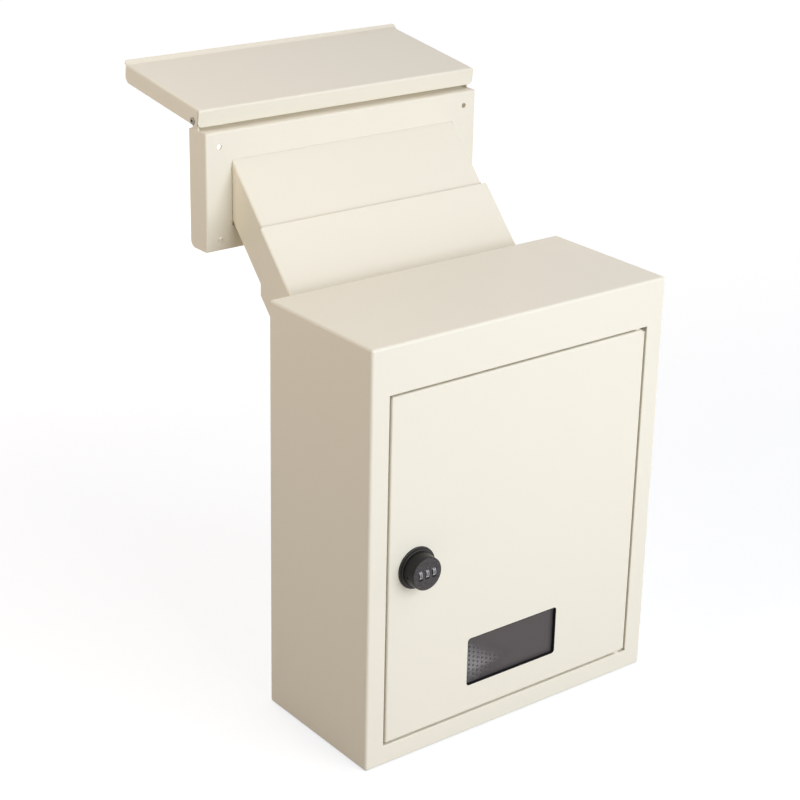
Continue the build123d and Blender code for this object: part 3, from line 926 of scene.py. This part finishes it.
    def _screen(self) -> None:
        """The perforated sheet: the pierced outline at its front and its back, and walls between."""
        low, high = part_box("window_screen")
        outline = self._outline(0.5 * (high.x - low.x), 0.5 * (high.z - low.z))
        plan, triangles, edges = self._pierced(outline)
        count = len(plan)
        x = plan[:, 0] + 0.5 * (low.x + high.x)
        z = plan[:, 1] + 0.5 * (low.z + high.z)
        front = np.column_stack([x, np.full(count, low.y), z])
        back = np.column_stack([x, np.full(count, high.y), z])
        walls = np.stack([edges[:, 0], edges[:, 1], edges[:, 1] + count, edges[:, 0] + count], axis=1)
        parts = MeshParts()
        parts.add(np.concatenate([front, back]), [triangles, triangles[:, ::-1] + count, walls])
        seat(parts.piece("perforated_screen", SCREEN_GREY), Body.DOOR, SCREEN_GREY, "window_screen")

    def _studs(self) -> None:
        """The four studs with a cut thread, each turned about its own axis and closed at both ends.

        The radius is the stud's less the thread's depth, which follows a cosine of the turn and the
        place along the axis. Over the last pitch it is no more than a cone down to the tip.
        """
        low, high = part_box("window_studs")
        turns = (high.y - low.y) / self.thread_pitch
        along = np.linspace(low.y, high.y, int(turns * self.thread_rows) + 1)
        angle = np.linspace(0.0, FULL_TURN, self.stud_steps, endpoint=False)
        phase = FULL_TURN * along[:, None] / self.thread_pitch - angle[None, :]
        radius = self.stud_radius - self.thread_depth * (0.5 + 0.5 * np.cos(phase))
        from_tip = (high.y - along) / self.thread_pitch
        cone = self.stud_tip_share + (1.0 - self.stud_tip_share) * from_tip
        radius = np.minimum(radius, self.stud_radius * np.minimum(1.0, cone)[:, None])
        parts = MeshParts()
        for x in (low.x + self.stud_radius, high.x - self.stud_radius):
            for z in (low.z + self.stud_radius, high.z - self.stud_radius):
                parts.add_turned((x, z), along, radius, hollow=False)
        studs = parts.piece("threaded_studs", ZINC, self.thread_crease_deg)
        seat(studs, Body.DOOR, ZINC, "window_studs")


@dataclass
class Digits:
    """The ten numerals as the middle lines of their strokes, each about the centre of a unit square."""

    curve_steps: int = 22

    def _arc(self, x: float, z: float, rx: float, rz: float, start: float, end: float) -> np.ndarray:
        """Returns an elliptic arc about x, z between two angles in degrees, anticlockwise from X."""
        angle = np.radians(np.linspace(start, end, self.curve_steps))
        return np.stack([x + rx * np.cos(angle), z + rz * np.sin(angle)], axis=1)

    def strokes(self, digit: int) -> list[np.ndarray]:
        """Draws one numeral.

        Args:
            digit: the number, 0 to 9.

        Returns:
            Its strokes. A stroke whose ends meet is a loop.
        """
        arc = self._arc
        two_foot = [[-0.4, -0.5], [0.42, -0.5]]
        three_top, three_belly = arc(0, 0.24, 0.34, 0.26, 160, -70), arc(0, -0.23, 0.38, 0.27, 75, -160)
        five_top = [[0.34, 0.5], [-0.3, 0.5], [-0.36, 0.06]]
        lines = {
            0: [arc(0, 0, 0.42, 0.5, 90, 450)],
            1: [np.array([[-0.22, 0.28], [0.06, 0.5], [0.06, -0.5]])],
            2: [np.concatenate([arc(0, 0.22, 0.38, 0.28, 170, -35), two_foot])],
            3: [np.concatenate([three_top, three_belly])],
            4: [np.array([[0.18, -0.5], [0.18, 0.5], [-0.42, -0.18], [0.42, -0.18]])],
            5: [np.concatenate([five_top, arc(0, -0.18, 0.4, 0.32, 130, -150)])],
            6: [arc(0, -0.2, 0.38, 0.3, 90, 450), arc(0.3, 0.0, 0.68, 0.5, 95, 200)],
            7: [np.array([[-0.4, 0.5], [0.4, 0.5], [-0.1, -0.5]])],
            8: [arc(0, 0.25, 0.32, 0.25, 90, 450), arc(0, -0.24, 0.38, 0.26, 90, 450)],
            9: [arc(0, 0.2, 0.38, 0.3, 90, 450), arc(-0.3, 0.0, 0.68, 0.5, -85, 20)],
        }
        return lines[digit]


@dataclass
class CombinationLock:
    """The combination lock: rosette and threaded barrel, knob, three number dials and the parts inside."""

    rosette_radius: float = 15.0 * MM
    rosette_round: float = 0.5 * MM
    step_radius: float = 13.6 * MM
    step: float = 1.0 * MM
    rim: float = 1.2 * MM
    bore_radius: float = 7.05 * MM
    bore_round: float = 0.3 * MM
    barrel_radius: float = 9.5 * MM
    barrel_flat: float = 8.2 * MM
    barrel_pitch: float = 1.0 * MM
    barrel_depth: float = 0.55 * MM
    barrel_rows: int = 8
    tip_length: float = 0.3 * MM
    tip_inset: float = 0.1 * MM
    round_steps: int = 120
    corner_steps: int = 5
    knob_round: float = 0.3 * MM
    dial_round: float = 0.08 * MM
    steel_round: float = 0.25 * MM
    facets: int = 10
    digit_width: float = 1.05 * MM
    digit_height: float = 1.75 * MM
    stroke: float = 0.30 * MM
    proud: float = 0.03 * MM
    sunk: float = 0.08 * MM
    longest_mitre: float = 2.0

    def build(self) -> None:
        """Builds the lock's pieces and dresses the rest."""
        black = SpeckledBlack(
            name="lock_speckled_black",
            slot=Slot.BLACK_LOCK,
            colour=linear(15, 13, 13),
            face=linear(52, 48, 47),
            fleck=linear(90, 85, 84),
            face_y=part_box("lock_knob")[0].y,
        )
        self._housing()
        softened("lock_knob", Body.LOCK_CORE, black, self.knob_round)
        for dial in Dial:
            node, body = dial.value
            softened(node, body, DIAL_SILVER, self.dial_round)
            self._numbers(node, body)
        for node in ("lock_nut", "lock_washer"):
            softened(node, Body.DOOR, ZINC, self.steel_round)
        for node in ("lock_cam", "cam_bolt"):
            softened(node, Body.LOCK_CORE, ZINC, self.steel_round)
        dress(ZINC, "lock_spindle", "dial_axle", "detent_spring")
        dress(black, "reset_pin")

    def _head(self, front: float) -> np.ndarray:
        """Finds the profile of the stepped rosette, from the bore's edge to the barrel's foot.

        Args:
            front: the Y of its front face.

        Returns:
            The radius and the Y of each point, with the bore's edge and the two rims rounded.
        """
        rim_y = front + self.step
        door_y = rim_y + self.rim
        profile = [
            [self.bore_radius, front],
            [self.step_radius, front],
            [self.step_radius, rim_y],
            [self.rosette_radius, rim_y],
            [self.rosette_radius, door_y],
            [self.barrel_radius, door_y],
        ]
        radii = [self.bore_round, self.rosette_round, 0.0, self.rosette_round, 0.0, 0.0]
        return rounded(np.array(profile), np.array(radii), self.corner_steps)

    def _housing(self) -> None:
        """The rosette and barrel as one turned shape.

        The profile runs out over the stepped rosette, along the barrel and back through the bore. On the
        barrel the radius is the outer one less the thread, whose depth follows a cosine of the turn and
        the place along the axis, and no point lies further across than the flats.
        """
        low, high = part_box("lock_housing")
        axis = (0.5 * (low.x + high.x), 0.5 * (low.z + high.z))
        head = self._head(low.y)
        door_y, end = head[-1, 1], high.y
        rows = int((end - door_y) / self.barrel_pitch * self.barrel_rows)
        threaded = np.linspace(door_y, end - self.tip_length, rows)[1:]
        angle = np.linspace(0.0, FULL_TURN, self.round_steps, endpoint=False)
        phase = FULL_TURN * threaded[:, None] / self.barrel_pitch - angle
        cut = self.barrel_depth * (0.5 + 0.5 * np.cos(phase))
        flats = self.barrel_flat / np.maximum(np.abs(np.cos(angle)), TINY)
        barrel = np.minimum(self.barrel_radius - cut, flats[None, :])
        rosette = np.repeat(head[:, :1], self.round_steps, axis=1)
        tip = np.full((1, self.round_steps), self.barrel_flat - self.tip_inset)
        bore = np.full((1, self.round_steps), self.bore_radius)
        radius = np.concatenate([rosette, barrel, tip, bore])
        along = np.concatenate([head[:, 1], threaded, [end, end]])
        parts = MeshParts()
        parts.add_turned(axis, along, radius, hollow=True)
        seat(parts.piece("rosette_and_barrel", ROSETTE_BLACK), Body.DOOR, ROSETTE_BLACK, "lock_housing")

    def _ribbon(self, line: np.ndarray) -> tuple[np.ndarray, np.ndarray, bool]:
        """Finds the two edges of a stroke about its middle line.

        Args:
            line: the middle line's points, in metres.

        Returns:
            The left and the right edge, half a stroke to each side across the mean of the neighbouring
            runs, longer at a bend so that the stroke keeps its width, and whether it is a loop.
        """
        loop = bool(np.linalg.norm(line[0] - line[-1]) < MERGE_DISTANCE)
        if loop:
            line = line[:-1]
        run = np.roll(line, -1, axis=0) - line
        run /= np.linalg.norm(run, axis=1, keepdims=True)
        if not loop:
            run[-1] = run[-2]
        back = np.roll(run, 1, axis=0)
        if not loop:
            back[0] = run[0]
        mean = run + back
        mean /= np.maximum(np.linalg.norm(mean, axis=1, keepdims=True), TINY)
        lean = (mean * run).sum(axis=1, keepdims=True)
        normal = np.stack([-mean[:, 1], mean[:, 0]], axis=1)
        offset = 0.5 * self.stroke * normal / np.maximum(lean, 1.0 / self.longest_mitre)
        return line + offset, line - offset, loop

    def _numbers(self, node: str, body: Body) -> None:
        """The ten numerals printed on a dial's facets, one piece for each dial.

        Each stroke is a thin bar of four-sided section. A point at (u, v, w) of a facet, across, up and
        outwards from its middle, goes to X = x + u, and to Y and Z by the facet's turn about the axis.

        Args:
            node: the dial's node.
            body: the dial's body.
        """
        low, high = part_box(node)
        centre = 0.5 * (np.array(low) + np.array(high))
        level = 0.5 * (high.y - low.y) + np.array([self.proud, self.proud, -self.sunk, -self.sunk])
        size = np.array([self.digit_width, self.digit_height])
        across = np.array([1.0, 0.0, 0.0])
        parts = MeshParts()
        digits = Digits()
        for digit in range(self.facets):
            turn = FULL_TURN * digit / self.facets
            outward = np.array([0.0, -math.cos(turn), -math.sin(turn)])
            upward = np.array([0.0, -math.sin(turn), math.cos(turn)])
            for line in digits.strokes(digit):
                left, right, loop = self._ribbon(line * size)
                edges = np.stack([left, right, right, left], axis=1)
                points = centre + edges[..., :1] * across + edges[..., 1:] * upward
                points = (points + level[:, None] * outward).reshape(-1, 3)
                faces = [grid_faces(len(left), 4, loop, True)]
                if not loop:
                    last = len(points) - 1
                    faces.append(np.array([[0, 1, 2, 3], [last, last - 1, last - 2, last - 3]]))
                parts.add(points, faces)
        seat(parts.piece(node + "_numbers", DIGIT_BLACK), body, DIGIT_BLACK)


@dataclass
class OutdoorUnit:
    """The outdoor side: pan, inner sleeve, drop lid and the hollow rivets that the lid swings on."""

    edge: float = PAINT_ROUND
    rivet_round: float = 0.2 * MM

    def build(self) -> None:
        """Rounds the cut edges of the sheets and the heads of the rivets."""
        softened("upper_chute", Body.OUTDOOR_UNIT, CREAM, self.edge)
        softened("outdoor_pan", Body.OUTDOOR_UNIT, CREAM, self.edge)
        softened("drop_lid", Body.LID, CREAM, self.edge)
        softened("lid_hinge_pins", Body.OUTDOOR_UNIT, RIVET, self.rivet_round)


@dataclass(frozen=True)
class Lamp:
    """A square soft lamp: its place, the point that it faces, its side in metres, watts and light."""

    name: str
    place: Place
    target: Place
    side: float
    power: float
    tint: Colour

    def hang(self) -> None:
        """Puts the lamp in the scene."""
        light = bpy.data.lights.new(self.name, "AREA")
        light.shape = "SQUARE"
        light.size = self.side
        light.energy = self.power
        light.color = self.tint
        lamp = bpy.data.objects.new(self.name, light)
        lamp.location = self.place
        lamp.rotation_euler = (Vector(self.target) - Vector(self.place)).to_track_quat("-Z", "Y").to_euler()
        bpy.context.scene.collection.objects.link(lamp)


@dataclass
class Studio:
    """The plain pale room, its soft lamps and the camera."""

    floor_z: float
    floor_half: float = 6.0
    floor_tone: Colour = (0.46, 0.42, 0.36)
    floor_glow: Colour = (0.6, 0.645, 0.69)
    far_glow: Colour = (0.80, 0.83, 0.84)
    glow_start: float = 0.3
    glow_end: float = 2.0
    dome_shade: Colour = (0.075, 0.03, 0.05)
    dome_bright: Colour = (0.90, 0.89, 0.955)
    dome_towards: Place = (0.97, 0.22, -0.10)
    lamps: tuple[Lamp, ...] = (
        Lamp("front_lamp", (0.24, -1.28, 0.46), (0.0, 0.0, 0.02), 1.1, 16.4, (0.815, 0.885, 1.0)),
        Lamp("side_lamp", (-0.85, 0.05, 0.80), (0.0, 0.0, 0.15), 0.5, 4.4, (1.0, 0.94, 0.83)),
        Lamp("back_lamp", (0.25, 1.55, 0.34), (0.0, 0.15, 0.05), 0.5, 7.0, (1.0, 0.94, 0.85)),
    )
    eye: Place = (-0.81642, -1.02876, 0.62067)
    turn_deg: Angles = (68.708, -1.1558, -37.425)
    lens_mm: float = 89.153
    rise: float = -0.05

    def build(self) -> None:
        """Makes the room, the lamps and the camera."""
        self._world()
        self._floor()
        for lamp in self.lamps:
            lamp.hang()
        self._camera()

    def _seen_plainly(self, shader: ShaderTree) -> Socket:
        """Tells rays that the camera sees from those that only light things.

        Args:
            shader: the tree that asks.

        Returns:
            A mask that is 1 for what is seen straight, by reflection or through glass.
        """
        path = shader.add("ShaderNodeLightPath")
        glossy = shader.math("MAXIMUM", path.outputs["Is Camera Ray"], path.outputs["Is Glossy Ray"])
        return shader.math("MAXIMUM", glossy, path.outputs["Is Transmission Ray"])

    def _world(self) -> None:
        """A room whose walls light more from one side than from the other, and look white."""
        world = bpy.data.worlds.new("studio")
        bpy.context.scene.world = world
        world.use_nodes = True
        shader = ShaderTree(world.node_tree)
        glow = shader.add("ShaderNodeBackground")
        output = shader.add("ShaderNodeOutputWorld")
        facing = shader.add("ShaderNodeVectorMath", operation="DOT_PRODUCT")
        shader.join(shader.add("ShaderNodeTexCoord").outputs["Generated"], facing.inputs[0])
        facing.inputs[1].default_value = Vector(self.dome_towards).normalized()
        part = shader.math("ADD", shader.math("MULTIPLY", facing.outputs["Value"], 0.5), 0.5)
        room = shader.blend(part, self.dome_shade, self.dome_bright)
        shader.join(shader.blend(self._seen_plainly(shader), room, (1.0, 1.0, 1.0)), glow.inputs["Color"])
        shader.join(glow.outputs["Background"], output.inputs["Surface"])

    def _floor(self) -> None:
        """A pale floor that keeps the object's shadow.

        Where it is seen plainly it also glows, more and more from glow_start to glow_end away from the
        object, so that it stays as pale where the lamps no longer reach it.
        """
        floor = Surface("pale_floor")
        floor.set(floor.bsdf, Base_Color=(*self.floor_tone, 1.0), Roughness=0.9, Specular_IOR_Level=0.0)
        away = floor.add("ShaderNodeVectorMath", operation="LENGTH")
        floor.join(floor.object_place(), away.inputs[0])
        far = floor.ramp(away.outputs["Value"], self.glow_start, self.glow_end, 0.0, 1.0)
        floor.feed(floor.blend(far, self.floor_glow, self.far_glow), "Emission Color")
        floor.feed(self._seen_plainly(floor), "Emission Strength")
        half, level = self.floor_half, self.floor_z
        points = [(-half, -half, level), (half, -half, level), (half, half, level), (-half, half, level)]
        mesh = bpy.data.meshes.new("floor")
        mesh.from_pydata(points, [], [(0, 1, 2, 3)])
        mesh.materials.append(floor.material)
        sheet = bpy.data.objects.new("floor", mesh)
        bpy.context.scene.collection.objects.link(sheet)
        sheet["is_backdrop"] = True

    def _camera(self) -> None:
        """Sets the camera where the photograph was taken from."""
        lens = bpy.data.cameras.new("photo_view")
        lens.lens = self.lens_mm
        lens.shift_y = self.rise
        camera = bpy.data.objects.new("photo_view", lens)
        camera.location = self.eye
        camera.rotation_euler = Euler([math.radians(angle) for angle in self.turn_deg], "XYZ")
        bpy.context.scene.collection.objects.link(camera)
        bpy.context.scene.camera = camera


def corners(bounds: tuple[Vector, Vector]) -> list[list[float]]:
    """Turns the lowest and highest corner into plain lists of numbers."""
    return [[float(value) for value in corner] for corner in bounds]


def main() -> None:
    """Builds the sub-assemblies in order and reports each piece."""
    logging.basicConfig(level=logging.INFO, format="%(name)s: %(message)s")
    frame_bounds = corners(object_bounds())
    bpy.context.scene.view_settings.view_transform = "Standard"
    for part in (IndoorBox(), Door(), DoorWindow(), CombinationLock(), OutdoorUnit()):
        LOG.info("building %s", type(part).__name__)
        part.build()
    Studio(floor_z=frame_bounds[0][2]).build()
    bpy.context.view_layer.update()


if __name__ == "__main__":
    main()
